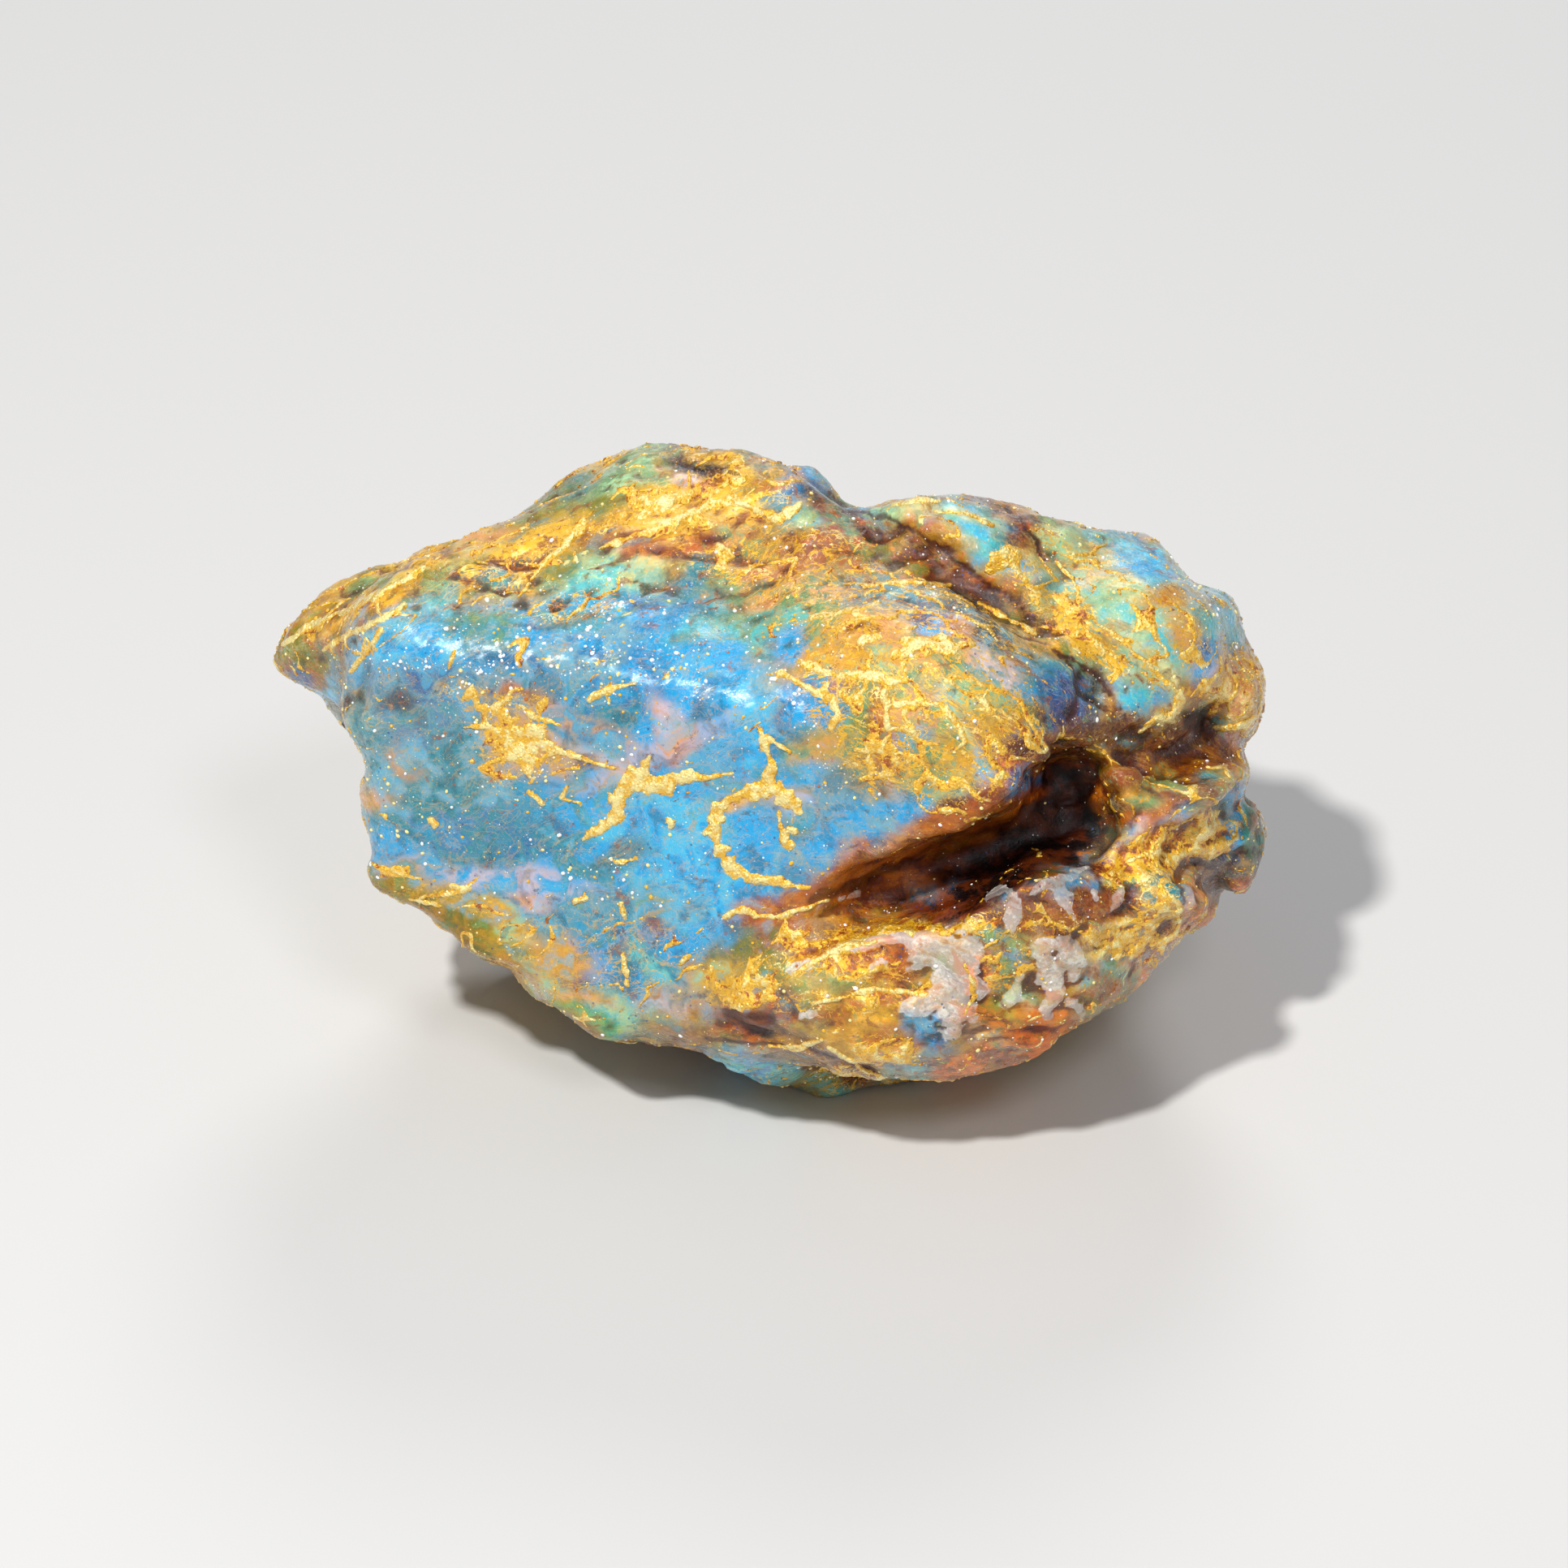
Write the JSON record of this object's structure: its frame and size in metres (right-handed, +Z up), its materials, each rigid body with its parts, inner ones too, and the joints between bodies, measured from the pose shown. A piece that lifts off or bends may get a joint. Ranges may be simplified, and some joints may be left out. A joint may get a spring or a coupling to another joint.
{
  "type": "rough amber stone",
  "caption": "Rough, lumpy stone of blue amber with gold crust, a deep slanting hollow and a small flat to rest on.",
  "frame": {"origin": "on the flat underside, below the middle of the stone", "axes": "+X along the stone's length to the right as seen from the front, +Z up, the blue face looks towards -Y"},
  "size_m": [0.0454, 0.0306, 0.0278],
  "materials": {
    "blue_amber": "wet gloss, mottled blue, teal and gold"
  },
  "bodies": {
    "root": {"blue_amber": "blue_amber"}
  },
  "joints": []
}
